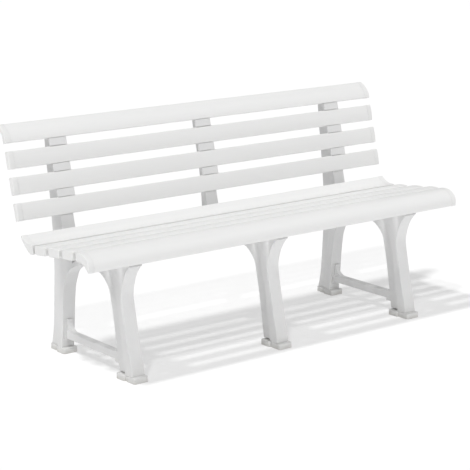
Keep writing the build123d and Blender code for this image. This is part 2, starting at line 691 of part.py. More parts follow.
# ------------------------------------------------------------------- fasteners
def screw_group(bed, seat, length, places):
    """Pan head screws standing on the plane seat, points along its normal."""
    with BuildPart() as group:
        with Locations(bed.offset(seat)):
            with Locations(*places):
                Cylinder(SCREW_HEAD_R, SCREW_HEAD, align=(Align.CENTER, Align.CENTER, Align.MAX))
                Cylinder(SCREW_R, length, align=(Align.CENTER, Align.CENTER, Align.MIN))
        under = bed.offset(seat - SCREW_HEAD)
        fillet(group.edges().filter_by(
            lambda e: e.geom_type == GeomType.CIRCLE
            and abs((e.center() - under.origin).dot(under.z_dir)) < 0.01), 1.2)
        with BuildSketch(under) as recess:
            with Locations(*places):
                Rectangle(CROSS_WIDTH, CROSS_LENGTH)
                Rectangle(CROSS_LENGTH, CROSS_WIDTH)
        extrude(amount=CROSS_DEPTH, mode=Mode.SUBTRACT)
    return group.part


seat_screw_spots = [(x + SEAT_SCREW_OFFSET, row) for x in frame_places.values()
                    for row in seat_screw_rows]
back_screw_spots = [(x, row) for x in frame_places.values() for row in back_screw_rows]
seat_screws = screw_group(seat_bed, -SEAT_FLANGE_DEPTH, SEAT_SCREW_LENGTH, seat_screw_spots)
seat_screws.label = "seat_slat_screws"
export_step(seat_screws, "parts/seat_slat_screws.step")
back_screws = screw_group(back_face, -BACK_SLAT_THICKNESS - BACK_SCREW_GRIP,
                          SEAT_SCREW_LENGTH, back_screw_spots)
back_screws.label = "back_slat_screws"
export_step(back_screws, "parts/back_slat_screws.step")

with BuildPart() as frame_screws:
    for hand, x in frame_places.items():
        for y, z, half in frame_screw_places[hand]:
            seat_x = x + half - FRAME_SCREW_BORE
            with BuildSketch(side(seat_x)):
                with Locations((y, z)):
                    Circle(FRAME_SCREW_HEAD_R)
            extrude(amount=FRAME_SCREW_HEAD)
            with BuildSketch(side(seat_x)):
                with Locations((y, z)):
                    Circle(FRAME_SCREW_R)
            extrude(amount=FRAME_SCREW_BORE + FRAME_SCREW_STOP + 0.5 - 2 * half)
            with BuildSketch(side(seat_x + FRAME_SCREW_HEAD)):
                with Locations((y, z)):
                    Rectangle(CROSS_WIDTH, CROSS_LENGTH)
                    Rectangle(CROSS_LENGTH, CROSS_WIDTH)
            extrude(amount=-CROSS_DEPTH, mode=Mode.SUBTRACT)
frame_screws.part.label = "frame_screws"
export_step(frame_screws.part, "parts/frame_screws.step")
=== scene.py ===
"""Looks of the resin garden bench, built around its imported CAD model.

Every length is in metres and every object stays in the CAD frame: +X runs
along the bench, -Y is its front and +Z is up, with the origin on the floor.
"""

import json
import logging
import math
from dataclasses import dataclass, field
from enum import Enum

import bmesh
import bpy
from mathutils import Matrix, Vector

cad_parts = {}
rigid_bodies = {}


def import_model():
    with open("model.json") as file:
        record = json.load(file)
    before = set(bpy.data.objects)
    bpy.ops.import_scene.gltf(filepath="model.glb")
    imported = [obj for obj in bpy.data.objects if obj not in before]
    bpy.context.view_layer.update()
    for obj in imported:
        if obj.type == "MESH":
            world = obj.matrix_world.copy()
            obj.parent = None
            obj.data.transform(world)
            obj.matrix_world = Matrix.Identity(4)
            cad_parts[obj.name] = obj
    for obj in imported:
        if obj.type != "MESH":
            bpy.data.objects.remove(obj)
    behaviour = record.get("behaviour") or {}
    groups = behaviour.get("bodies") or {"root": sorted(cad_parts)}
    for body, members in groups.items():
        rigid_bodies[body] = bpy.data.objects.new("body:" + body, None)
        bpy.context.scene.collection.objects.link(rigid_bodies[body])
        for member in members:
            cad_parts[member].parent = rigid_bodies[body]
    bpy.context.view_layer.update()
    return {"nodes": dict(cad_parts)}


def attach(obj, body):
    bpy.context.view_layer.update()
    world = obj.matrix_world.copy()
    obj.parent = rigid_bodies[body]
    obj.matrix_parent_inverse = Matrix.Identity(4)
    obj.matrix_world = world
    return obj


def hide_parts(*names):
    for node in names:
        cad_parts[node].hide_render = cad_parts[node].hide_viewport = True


log = logging.getLogger("garden_bench")


# --------------------------------------------------------------------- options
class Flow(Enum):
    """Way the faint surface lines of a resin run."""

    LENGTHWISE = (0.35, 14.0, 14.0)
    ALL_WAYS = (6.0, 6.0, 6.0)


class Hand(Enum):
    """Where a side frame stands along the bench, in metres from the middle."""

    LEFT = -0.565
    CENTRE = 0.0
    RIGHT = 0.565


# ------------------------------------------------------------- shader utilities
def link(tree: bpy.types.NodeTree, source: bpy.types.NodeSocket,
         target: bpy.types.NodeSocket) -> None:
    """Joins two sockets of one tree."""
    tree.links.new(source, target)


def new_node(tree: bpy.types.NodeTree, kind: str, place: tuple[float, float],
             **settings: object) -> bpy.types.Node:
    """Adds a node to a tree.

    Args:
        tree: The tree that gets the node.
        kind: The node's type name.
        place: Where it sits in the editor.
        **settings: Properties to set on it.

    Returns:
        The new node.
    """
    node = tree.nodes.new(kind)
    node.location = place
    for name, value in settings.items():
        setattr(node, name, value)
    return node


def add_socket(tree: bpy.types.NodeTree, name: str, way: str, kind: str,
               value: object = None) -> None:
    """Adds a named input or output to a node group.

    Args:
        tree: The group.
        name: The socket's name.
        way: INPUT or OUTPUT.
        kind: The socket's type name.
        value: Its default, where it has one.
    """
    socket = tree.interface.new_socket(name=name, in_out=way, socket_type=kind)
    if value is not None:
        socket.default_value = value


def grain_group() -> bpy.types.NodeTree:
    """Builds the surface texture of moulded and extruded resin.

    Returns:
        A group that puts out a height and a shade for stretched noise.
    """
    tree = bpy.data.node_groups.new("resin_grain", "ShaderNodeTree")
    add_socket(tree, "Vector", "INPUT", "NodeSocketVector")
    add_socket(tree, "Stretch", "INPUT", "NodeSocketVector", (1.0, 1.0, 1.0))
    add_socket(tree, "Fineness", "INPUT", "NodeSocketFloat", 60.0)
    add_socket(tree, "Height", "OUTPUT", "NodeSocketFloat")
    add_socket(tree, "Shade", "OUTPUT", "NodeSocketFloat")
    entry = new_node(tree, "NodeGroupInput", (-800, 0))
    leave = new_node(tree, "NodeGroupOutput", (400, 0))
    stretch = new_node(tree, "ShaderNodeVectorMath", (-600, 0), operation="MULTIPLY")
    fine = new_node(tree, "ShaderNodeTexNoise", (-350, 150))
    fine.inputs["Detail"].default_value = 6.0
    fine.inputs["Roughness"].default_value = 0.62
    broad = new_node(tree, "ShaderNodeTexNoise", (-350, -150))
    broad.inputs["Scale"].default_value = 1.6
    broad.inputs["Detail"].default_value = 3.0
    blend = new_node(tree, "ShaderNodeMath", (-100, -100), operation="MULTIPLY_ADD")
    blend.inputs[1].default_value = 0.45
    link(tree, entry.outputs["Vector"], stretch.inputs[0])
    link(tree, entry.outputs["Stretch"], stretch.inputs[1])
    link(tree, stretch.outputs[0], fine.inputs["Vector"])
    link(tree, stretch.outputs[0], broad.inputs["Vector"])
    link(tree, entry.outputs["Fineness"], fine.inputs["Scale"])
    link(tree, fine.outputs["Fac"], blend.inputs[0])
    link(tree, broad.outputs["Fac"], blend.inputs[2])
    link(tree, fine.outputs["Fac"], leave.inputs["Height"])
    link(tree, blend.outputs[0], leave.inputs["Shade"])
    return tree


def dust_group() -> bpy.types.NodeTree:
    """Builds the dull film that gathers near the ground.

    Returns:
        A group that puts out one mask.
    """
    tree = bpy.data.node_groups.new("ground_dust", "ShaderNodeTree")
    add_socket(tree, "Vector", "INPUT", "NodeSocketVector")
    add_socket(tree, "Reach", "INPUT", "NodeSocketFloat", 0.08)
    add_socket(tree, "Amount", "INPUT", "NodeSocketFloat", 0.3)
    add_socket(tree, "Mask", "OUTPUT", "NodeSocketFloat")
    entry = new_node(tree, "NodeGroupInput", (-900, 0))
    leave = new_node(tree, "NodeGroupOutput", (500, 0))
    parts = new_node(tree, "ShaderNodeSeparateXYZ", (-700, 100))
    low = new_node(tree, "ShaderNodeMapRange", (-450, 100), interpolation_type="SMOOTHSTEP")
    low.inputs["From Min"].default_value = 0.0
    low.inputs["To Min"].default_value = 1.0
    low.inputs["To Max"].default_value = 0.0
    patch = new_node(tree, "ShaderNodeTexNoise", (-450, -150))
    patch.inputs["Scale"].default_value = 38.0
    patch.inputs["Detail"].default_value = 5.0
    spread = new_node(tree, "ShaderNodeMath", (-200, 0), operation="MULTIPLY")
    amount = new_node(tree, "ShaderNodeMath", (50, 0), operation="MULTIPLY", use_clamp=True)
    link(tree, entry.outputs["Vector"], parts.inputs[0])
    link(tree, parts.outputs["Z"], low.inputs["Value"])
    link(tree, entry.outputs["Reach"], low.inputs["From Max"])
    link(tree, entry.outputs["Vector"], patch.inputs["Vector"])
    link(tree, low.outputs[0], spread.inputs[0])
    link(tree, patch.outputs["Fac"], spread.inputs[1])
    link(tree, spread.outputs[0], amount.inputs[0])
    link(tree, entry.outputs["Amount"], amount.inputs[1])
    link(tree, amount.outputs[0], leave.inputs["Mask"])
    return tree


def rub_and_painted_shade_group() -> bpy.types.NodeTree:
    """Builds the polish that handling leaves on edges and the painted shade in corners and
    recesses.

    Returns:
        A group that puts out an edge mask, a painted shade mask from ambient occlusion and a
        rounded normal.
    """
    tree = bpy.data.node_groups.new("edge_rub_and_painted_shade", "ShaderNodeTree")
    add_socket(tree, "Breadth", "INPUT", "NodeSocketFloat", 0.003)
    add_socket(tree, "Edge", "OUTPUT", "NodeSocketFloat")
    add_socket(tree, "Painted Corner Shade", "OUTPUT", "NodeSocketFloat")
    add_socket(tree, "Normal", "OUTPUT", "NodeSocketVector")
    entry = new_node(tree, "NodeGroupInput", (-800, 0))
    leave = new_node(tree, "NodeGroupOutput", (500, 0))
    soft = new_node(tree, "ShaderNodeBevel", (-550, 200), samples=4)
    face = new_node(tree, "ShaderNodeNewGeometry", (-550, 0))
    same = new_node(tree, "ShaderNodeVectorMath", (-300, 150), operation="DOT_PRODUCT")
    turn = new_node(tree, "ShaderNodeMapRange", (-50, 150))
    turn.inputs["From Min"].default_value = 1.0
    turn.inputs["From Max"].default_value = 0.72
    # Ambient occlusion gives the mask of painted shade for corners and recesses.
    corner_occlusion = new_node(tree, "ShaderNodeAmbientOcclusion", (-550, -200), samples=6)
    corner_occlusion.inputs["Distance"].default_value = 0.02
    deep = new_node(tree, "ShaderNodeMapRange", (-50, -150))
    deep.inputs["From Min"].default_value = 0.65
    deep.inputs["From Max"].default_value = 0.1
    link(tree, entry.outputs["Breadth"], soft.inputs["Radius"])
    link(tree, soft.outputs[0], same.inputs[0])
    link(tree, face.outputs["Normal"], same.inputs[1])
    link(tree, same.outputs["Value"], turn.inputs["Value"])
    link(tree, corner_occlusion.outputs["AO"], deep.inputs["Value"])
    link(tree, turn.outputs[0], leave.inputs["Edge"])
    link(tree, deep.outputs[0], leave.inputs["Painted Corner Shade"])
    link(tree, soft.outputs[0], leave.inputs["Normal"])
    return tree


@dataclass
class Effects:
    """The shader groups that several finishes share."""

    grain: bpy.types.NodeTree = field(default_factory=grain_group)
    dust: bpy.types.NodeTree = field(default_factory=dust_group)
    rub_and_painted_shade: bpy.types.NodeTree = field(default_factory=rub_and_painted_shade_group)

    def place(self, tree: bpy.types.NodeTree, effect: bpy.types.NodeTree,
              place: tuple[float, float], **values: object) -> bpy.types.Node:
        """Puts one of the groups in a material.

        Args:
            tree: The material's tree.
            effect: The group.
            place: Where it sits in the editor.
            **values: Input values by name.

        Returns:
            The group node.
        """
        node = new_node(tree, "ShaderNodeGroup", place)
        node.node_tree = effect
        for name, value in values.items():
            node.inputs[name].default_value = value
        return node


# -------------------------------------------------------------------- finishes
FLOOR_SOIL = (0.42, 0.40, 0.36, 1.0)
# Painted shade: this colour and share are mixed into corners and recesses by ambient occlusion.
PAINTED_CORNER_SHADE_COLOUR = (0.50, 0.49, 0.46, 1.0)
PAINTED_CORNER_SHADE_SHARE = 0.35
EDGE_POLISH = -0.12
RESIN_IOR = 1.49
RUB_BREADTH = 0.0025
METAL_SHADE = 0.72


@dataclass(frozen=True)
class Resin:
    """White resin of one group of pieces."""

    name: str
    colour: tuple[float, float, float]
    shade: tuple[float, float, float]
    flow: Flow
    fineness: float
    roughness: float
    spread: float
    bump: float
    dust: float = 0.25
    dust_reach: float = 0.1
    coat: float = 0.0

    def build(self, effects: Effects) -> bpy.types.Material:
        """Makes the material.

        Args:
            effects: The shared shader groups.

        Returns:
            The finished material.
        """
        material = bpy.data.materials.new(self.name)
        material.use_nodes = True
        tree = material.node_tree
        surface = tree.nodes["Principled BSDF"]
        surface.inputs["IOR"].default_value = RESIN_IOR
        surface.inputs["Coat Weight"].default_value = self.coat
        surface.inputs["Coat Roughness"].default_value = 0.25
        surface.inputs["Subsurface Weight"].default_value = 0.06
        surface.inputs["Subsurface Radius"].default_value = (0.004, 0.004, 0.0035)
        surface.inputs["Subsurface Scale"].default_value = 1.0
        coords = new_node(tree, "ShaderNodeTexCoord", (-1300, 0))
        grain = effects.place(tree, effects.grain, (-1000, 200),
                              Stretch=self.flow.value, Fineness=self.fineness)
        dust = effects.place(tree, effects.dust, (-1000, -100),
                             Reach=self.dust_reach, Amount=self.dust)
        rub_and_painted_shade = effects.place(tree, effects.rub_and_painted_shade, (-1000, -350), Breadth=RUB_BREADTH)
        link(tree, coords.outputs["Object"], grain.inputs["Vector"])
        link(tree, coords.outputs["Object"], dust.inputs["Vector"])

        tint = new_node(tree, "ShaderNodeMix", (-700, 200), data_type="RGBA")
        tint.inputs["A"].default_value = (*self.shade, 1.0)
        tint.inputs["B"].default_value = (*self.colour, 1.0)
        soiled = new_node(tree, "ShaderNodeMix", (-480, 200), data_type="RGBA")
        soiled.inputs["B"].default_value = FLOOR_SOIL
        # Painted shade: this mix darkens corners and recesses by ambient occlusion.
        deep = new_node(tree, "ShaderNodeMix", (-260, 200), data_type="RGBA")
        deep.inputs["B"].default_value = PAINTED_CORNER_SHADE_COLOUR
        painted_corner_shade = new_node(tree, "ShaderNodeMath", (-480, -50), operation="MULTIPLY")
        painted_corner_shade.inputs[1].default_value = PAINTED_CORNER_SHADE_SHARE
        link(tree, grain.outputs["Shade"], tint.inputs["Factor"])
        link(tree, tint.outputs["Result"], soiled.inputs["A"])
        link(tree, dust.outputs["Mask"], soiled.inputs["Factor"])
        link(tree, soiled.outputs["Result"], deep.inputs["A"])
        link(tree, rub_and_painted_shade.outputs["Painted Corner Shade"], painted_corner_shade.inputs[0])
        link(tree, painted_corner_shade.outputs[0], deep.inputs["Factor"])
        link(tree, deep.outputs["Result"], surface.inputs["Base Color"])

        sheen = new_node(tree, "ShaderNodeMath", (-480, -250), operation="MULTIPLY_ADD")
        sheen.inputs[1].default_value = self.spread
        sheen.inputs[2].default_value = self.roughness - self.spread * 0.5
        polish = new_node(tree, "ShaderNodeMath", (-260, -250), operation="MULTIPLY_ADD")
        polish.inputs[1].default_value = EDGE_POLISH
        link(tree, grain.outputs["Shade"], sheen.inputs[0])
        link(tree, rub_and_painted_shade.outputs["Edge"], polish.inputs[0])
        link(tree, sheen.outputs[0], polish.inputs[2])
        link(tree, polish.outputs[0], surface.inputs["Roughness"])

        bump = new_node(tree, "ShaderNodeBump", (-260, -500))
        bump.inputs["Strength"].default_value = self.bump
        bump.inputs["Distance"].default_value = 0.0004
        link(tree, grain.outputs["Height"], bump.inputs["Height"])
        link(tree, rub_and_painted_shade.outputs["Normal"], bump.inputs["Normal"])
        link(tree, bump.outputs["Normal"], surface.inputs["Normal"])
        return material


@dataclass(frozen=True)
class Steel:
    """Zinc plated steel of the fasteners."""

    name: str
    colour: tuple[float, float, float]
    roughness: float

    def build(self, effects: Effects) -> bpy.types.Material:
        """Makes the material.

        Args:
            effects: The shared shader groups.

        Returns:
            The finished material.
        """
        material = bpy.data.materials.new(self.name)
        material.use_nodes = True
        tree = material.node_tree
        surface = tree.nodes["Principled BSDF"]
        surface.inputs["Metallic"].default_value = 1.0
        coords = new_node(tree, "ShaderNodeTexCoord", (-1000, 0))
        grain = effects.place(tree, effects.grain, (-750, 0),
                              Stretch=(20.0, 20.0, 20.0), Fineness=40.0)
        link(tree, coords.outputs["Object"], grain.inputs["Vector"])
        tint = new_node(tree, "ShaderNodeMix", (-450, 150), data_type="RGBA")
        tint.inputs["A"].default_value = (
            *(METAL_SHADE * level for level in self.colour), 1.0)
        tint.inputs["B"].default_value = (*self.colour, 1.0)
        rough = new_node(tree, "ShaderNodeMath", (-450, -100), operation="MULTIPLY_ADD")
        rough.inputs[1].default_value = 0.2
        rough.inputs[2].default_value = self.roughness
        bump = new_node(tree, "ShaderNodeBump", (-450, -300))
        bump.inputs["Strength"].default_value = 0.25
        bump.inputs["Distance"].default_value = 0.0001
        link(tree, grain.outputs["Shade"], tint.inputs["Factor"])
        link(tree, tint.outputs["Result"], surface.inputs["Base Color"])
        link(tree, grain.outputs["Shade"], rough.inputs[0])
        link(tree, rough.outputs[0], surface.inputs["Roughness"])
        link(tree, grain.outputs["Height"], bump.inputs["Height"])
        link(tree, bump.outputs["Normal"], surface.inputs["Normal"])
        return material


SLAT_RESIN = Resin("slat_resin_white", (0.865, 0.865, 0.86), (0.815, 0.815, 0.81),
                   Flow.LENGTHWISE, 30.0, 0.38, 0.16, 0.35, dust=0.0, coat=0.15)
CAP_RESIN = Resin("cap_resin_white", (0.85, 0.85, 0.845), (0.80, 0.80, 0.795),
                  Flow.ALL_WAYS, 45.0, 0.34, 0.14, 0.2, dust=0.0, coat=0.2)
FRAME_RESIN = Resin("frame_resin_white", (0.79, 0.79, 0.79), (0.735, 0.735, 0.735),
                    Flow.ALL_WAYS, 70.0, 0.46, 0.16, 0.4, dust=0.3)
PAD_RESIN = Resin("pad_resin_white", (0.78, 0.78, 0.775), (0.68, 0.68, 0.67),
                  Flow.ALL_WAYS, 90.0, 0.55, 0.2, 0.5, dust=0.8, dust_reach=0.022)
ZINC = Steel("zinc_plated_steel", (0.62, 0.63, 0.65), 0.28)


# ------------------------------------------------------ sub-assemblies from CAD
@dataclass
class Dresser:
    """Hands each finish out as one material, made on first use."""

    effects: Effects
    made: dict[str, bpy.types.Material] = field(default_factory=dict)

    def material(self, finish: "Resin | Steel") -> bpy.types.Material:
        """Gives a finish's material.

        Args:
            finish: The finish.

        Returns:
            Its material.
        """
        if finish.name not in self.made:
            self.made[finish.name] = finish.build(self.effects)
        return self.made[finish.name]

    def dress(self, node: bpy.types.Object, finish: "Resin | Steel") -> bpy.types.Object:
        """Puts a finish on every slot of a CAD piece.

        Args:
            node: The CAD piece.
            finish: The finish.

        Returns:
            The same piece.
        """
        for slot in node.material_slots:
            slot.material = self.material(finish)
        log.info("%s dressed in %s", node.name, finish.name)
        return node


@dataclass
class SlatPanel:
    """A seat or a back: hollow slats with a cap at each end."""

    slats: tuple[str, ...]
    slat_finish: Resin = SLAT_RESIN
    cap_finish: Resin = CAP_RESIN

    def build(self, cad: dict[str, bpy.types.Object],
              dresser: Dresser) -> list[bpy.types.Object]:
        """Dresses the slats and their caps.

        Args:
            cad: The CAD objects by name.
            dresser: The maker of materials.

        Returns:
            The visible pieces.
        """
        pieces = []
        for slat in self.slats:
            pieces.append(dresser.dress(cad[slat], self.slat_finish))
            for hand in ("left", "right"):
                pieces.append(dresser.dress(cad[f"{slat}_cap_{hand}"], self.cap_finish))
        return pieces


@dataclass
class SideFrame:
    """One moulded frame on its foot pads."""

    hand: Hand
    mouldings: tuple[str, ...] = ("front_leg", "seat_rail", "rear_upright", "stretcher")
    pads: tuple[str, ...] = ("front_foot_pad", "rear_foot_pad")
    finish: Resin = FRAME_RESIN
    pad_finish: Resin = PAD_RESIN

    def build(self, cad: dict[str, bpy.types.Object],
              dresser: Dresser) -> list[bpy.types.Object]:
        """Dresses the frame's mouldings and pads.

        Args:
            cad: The CAD objects by name.
            dresser: The maker of materials.

        Returns:
            The visible pieces.
        """
        side = self.hand.name.lower()
        pieces = [dresser.dress(cad[f"{side}_{name}"], self.finish) for name in self.mouldings]
        pieces += [dresser.dress(cad[f"{side}_{name}"], self.pad_finish) for name in self.pads]
        return pieces


# -------------------------------------------------------------- screws, by nodes
def geometry_value(tree: bpy.types.NodeTree, operation: str, place: tuple[float, float],
                   *values: object) -> bpy.types.NodeSocket:
    """Adds one maths node to a geometry tree.

    Args:
        tree: The tree.
        operation: What the node works out.
        place: Where it sits in the editor.
        *values: A socket to link or a number to set for each input.

    Returns:
        The result's socket.
    """
    node = new_node(tree, "ShaderNodeMath", place, operation=operation)
    for target, value in zip(node.inputs, values):
        if isinstance(value, bpy.types.NodeSocket):
            link(tree, value, target)
        else:
            target.default_value = value
    return node.outputs[0]


@dataclass(frozen=True)
class ScrewRun:
    """Screws of one length: where each head meets its seat."""

    length: float
    seats: tuple[tuple[float, float, float], ...]


@dataclass
class ScrewSet:
    """Pan head screws with a cross recess and a rolled thread, all one way round."""

    name: str
    stands_for: str
    travel: tuple[float, float, float]
    runs: tuple[ScrewRun, ...]
    head_radius: float = 0.005
    head_height: float = 0.003
    shank_radius: float = 0.0025
    pitch: float = 0.0019
    thread_depth: float = 0.18
    tip: float = 0.003
    cross_length: float = 0.0054
    cross_width: float = 0.0012
    cross_depth: float = 0.0016
    sides: int = 16
    rings_per_turn: int = 5
    dome_rings: int = 5
    blunt_share: float = 0.12
    rim_share: float = 0.55
    slot_shares: tuple[float, float] = (1.0, 0.92)
    finish: Steel = ZINC

    def head(self, tree: bpy.types.NodeTree, entry: bpy.types.Node) -> bpy.types.NodeSocket:
        """Adds the nodes of the domed head with its cross recess.

        Args:
            tree: The tree.
            entry: Its group input.

        Returns:
            The head's geometry, underside on the seat plane.
        """
        radius, height = entry.outputs["Head Radius"], entry.outputs["Head Height"]
        disc = new_node(tree, "GeometryNodeMeshCylinder", (-1500, 500))
        disc.inputs["Vertices"].default_value = 2 * self.sides
        disc.inputs["Fill Segments"].default_value = self.dome_rings
        disc.fill_type = "TRIANGLE_FAN"
        link(tree, radius, disc.inputs["Radius"])
        link(tree, height, disc.inputs["Depth"])
        spot = new_node(tree, "GeometryNodeInputPosition", (-1500, 250))
        parts = new_node(tree, "ShaderNodeSeparateXYZ", (-1350, 250))
        link(tree, spot.outputs[0], parts.inputs[0])
        squares = [geometry_value(tree, "MULTIPLY", (-1200, 300 - 150 * k),
                                  parts.outputs[k], parts.outputs[k]) for k in range(2)]
        reach = geometry_value(tree, "ADD", (-1050, 250), *squares)
        rim = geometry_value(tree, "MULTIPLY", (-1050, 100), radius, radius)
        share = geometry_value(tree, "DIVIDE", (-900, 200), reach, rim)
        drop = geometry_value(tree, "MULTIPLY", (-750, 200), share, 1.0 - self.rim_share)
        outer = geometry_value(tree, "LESS_THAN", (-750, 50), parts.outputs[2], 0.0)
        lift = geometry_value(tree, "MULTIPLY", (-600, 150), drop, outer)
        move = geometry_value(tree, "MULTIPLY", (-450, 150), lift, height)
        shift = new_node(tree, "ShaderNodeCombineXYZ", (-300, 150))
        link(tree, move, shift.inputs["Z"])
        dome = new_node(tree, "GeometryNodeSetPosition", (-150, 450))
        link(tree, disc.outputs["Mesh"], dome.inputs["Geometry"])
        link(tree, shift.outputs[0], dome.inputs["Offset"])
        cut = new_node(tree, "GeometryNodeMeshBoolean", (200, 450), operation="DIFFERENCE")
        link(tree, dome.outputs[0], cut.inputs["Mesh 1"])
        deep = geometry_value(tree, "MULTIPLY", (-450, -50), entry.outputs["Cross Depth"], 2.0)
        low = geometry_value(tree, "MULTIPLY", (-450, -200), height, -0.5)
        centre = new_node(tree, "ShaderNodeCombineXYZ", (-300, -200))
        link(tree, low, centre.inputs["Z"])
        sizes = (entry.outputs["Cross Length"], entry.outputs["Cross Width"])
        for k in range(2):
            size = new_node(tree, "ShaderNodeCombineXYZ", (-300, -350 - 150 * k))
            link(tree, sizes[k], size.inputs["X"])
            link(tree, sizes[1 - k], size.inputs["Y"])
            depth = geometry_value(tree, "MULTIPLY", (-450, -350 - 150 * k), deep,
                                   self.slot_shares[k])
            link(tree, depth, size.inputs["Z"])
            slot = new_node(tree, "GeometryNodeMeshCube", (-100, -350 - 150 * k))
            link(tree, size.outputs[0], slot.inputs["Size"])
            placed = new_node(tree, "GeometryNodeTransform", (50, -350 - 150 * k))
            link(tree, slot.outputs["Mesh"], placed.inputs["Geometry"])
            link(tree, centre.outputs[0], placed.inputs["Translation"])
            link(tree, placed.outputs[0], cut.inputs["Mesh 2"])
        seated = new_node(tree, "GeometryNodeTransform", (400, 450))
        link(tree, cut.outputs["Mesh"], seated.inputs["Geometry"])
        link(tree, centre.outputs[0], seated.inputs["Translation"])
        return seated.outputs[0]

    def shank(self, tree: bpy.types.NodeTree, entry: bpy.types.Node,
              length: float) -> bpy.types.NodeSocket:
        """Adds the nodes of the threaded shank.

        Args:
            tree: The tree.
            entry: Its group input.
            length: The shank's length, which sets how many rings it has.

        Returns:
            The shank's geometry, standing on the seat plane.
        """
        reach, pitch = entry.outputs["Length"], entry.outputs["Pitch"]
        rod = new_node(tree, "GeometryNodeMeshCylinder", (-1500, -800))
        rod.inputs["Vertices"].default_value = self.sides
        rod.inputs["Side Segments"].default_value = round(
            length / self.pitch * self.rings_per_turn)
        link(tree, entry.outputs["Shank Radius"], rod.inputs["Radius"])
        link(tree, reach, rod.inputs["Depth"])
        half = geometry_value(tree, "MULTIPLY", (-1500, -1000), reach, 0.5)
        rise = new_node(tree, "ShaderNodeCombineXYZ", (-1350, -1000))
        link(tree, half, rise.inputs["Z"])
        stood = new_node(tree, "GeometryNodeTransform", (-1200, -800))
        link(tree, rod.outputs["Mesh"], stood.inputs["Geometry"])
        link(tree, rise.outputs[0], stood.inputs["Translation"])
        spot = new_node(tree, "GeometryNodeInputPosition", (-1350, -1200))
        parts = new_node(tree, "ShaderNodeSeparateXYZ", (-1200, -1200))
        link(tree, spot.outputs[0], parts.inputs[0])
        angle = geometry_value(tree, "ARCTAN2", (-1050, -1100), parts.outputs[1], parts.outputs[0])
        part_turn = geometry_value(tree, "DIVIDE", (-900, -1100), angle, 2.0 * math.pi)
        turns = geometry_value(tree, "DIVIDE", (-900, -1250), parts.outputs[2], pitch)
        phase = geometry_value(tree, "SUBTRACT", (-750, -1150), turns, part_turn)
        wave = geometry_value(tree, "PINGPONG", (-600, -1150), phase, 0.5)
        dip = geometry_value(tree, "MULTIPLY", (-450, -1150), wave, 2.0 * self.thread_depth)
        ridge = geometry_value(tree, "SUBTRACT", (-300, -1150), 1.0, dip)
        left = geometry_value(tree, "SUBTRACT", (-600, -1350), reach, parts.outputs[2])
        taper = geometry_value(tree, "DIVIDE", (-450, -1350), left, self.tip)
        blunt = geometry_value(tree, "MAXIMUM", (-300, -1350), taper, self.blunt_share)
        point = geometry_value(tree, "MINIMUM", (-150, -1350), blunt, 1.0)
        thin = geometry_value(tree, "MULTIPLY", (0, -1250), ridge, point)
        factor = new_node(tree, "ShaderNodeCombineXYZ", (150, -1250))
        factor.inputs["Z"].default_value = 1.0
        link(tree, thin, factor.inputs["X"])
        link(tree, thin, factor.inputs["Y"])
        place = new_node(tree, "ShaderNodeVectorMath", (300, -1200), operation="MULTIPLY")
        link(tree, spot.outputs[0], place.inputs[0])
        link(tree, factor.outputs[0], place.inputs[1])
        rolled = new_node(tree, "GeometryNodeSetPosition", (450, -900))
        link(tree, stood.outputs[0], rolled.inputs["Geometry"])
        link(tree, place.outputs[0], rolled.inputs["Position"])
        return rolled.outputs[0]

    def tree(self, length: float, material: bpy.types.Material) -> bpy.types.NodeTree:
        """Builds the geometry tree that stands a screw on each point.

        Args:
            length: Length of the shank.
            material: The screws' material.

        Returns:
            The tree.
        """
        tree = bpy.data.node_groups.new(f"{self.name}_nodes", "GeometryNodeTree")
        add_socket(tree, "Geometry", "INPUT", "NodeSocketGeometry")
        for label in self.sizes(length):
            kind = "NodeSocketVector" if label == "Turn" else "NodeSocketFloat"
            add_socket(tree, label, "INPUT", kind)
        add_socket(tree, "Geometry", "OUTPUT", "NodeSocketGeometry")
        entry = new_node(tree, "NodeGroupInput", (-1900, 0))
        leave = new_node(tree, "NodeGroupOutput", (1700, 0))
        whole = new_node(tree, "GeometryNodeJoinGeometry", (700, 0))
        link(tree, self.head(tree, entry), whole.inputs[0])
        link(tree, self.shank(tree, entry, length), whole.inputs[0])
        turn = new_node(tree, "FunctionNodeEulerToRotation", (700, -250))
        stand = new_node(tree, "GeometryNodeInstanceOnPoints", (950, 0))
        real = new_node(tree, "GeometryNodeRealizeInstances", (1200, 0))
        coat = new_node(tree, "GeometryNodeSetMaterial", (1450, 0))
        coat.inputs["Material"].default_value = material
        link(tree, entry.outputs["Turn"], turn.inputs[0])
        link(tree, entry.outputs["Geometry"], stand.inputs["Points"])
        link(tree, whole.outputs[0], stand.inputs["Instance"])
        link(tree, turn.outputs[0], stand.inputs["Rotation"])
        link(tree, stand.outputs[0], real.inputs["Geometry"])
        link(tree, real.outputs[0], coat.inputs["Geometry"])
        link(tree, coat.outputs[0], leave.inputs["Geometry"])
        return tree

    def sizes(self, length: float) -> dict[str, object]:
        """Gives the tree's inputs by name.

        Args:
            length: Length of the shank.

        Returns:
            The values.
        """
        turn = Vector(self.travel).to_track_quat("Z", "Y").to_euler()
        return {
            "Turn": tuple(turn), "Length": length, "Pitch": self.pitch,
            "Head Radius": self.head_radius, "Head Height": self.head_height,
            "Shank Radius": self.shank_radius, "Cross Length": self.cross_length,
            "Cross Width": self.cross_width, "Cross Depth": self.cross_depth,
        }

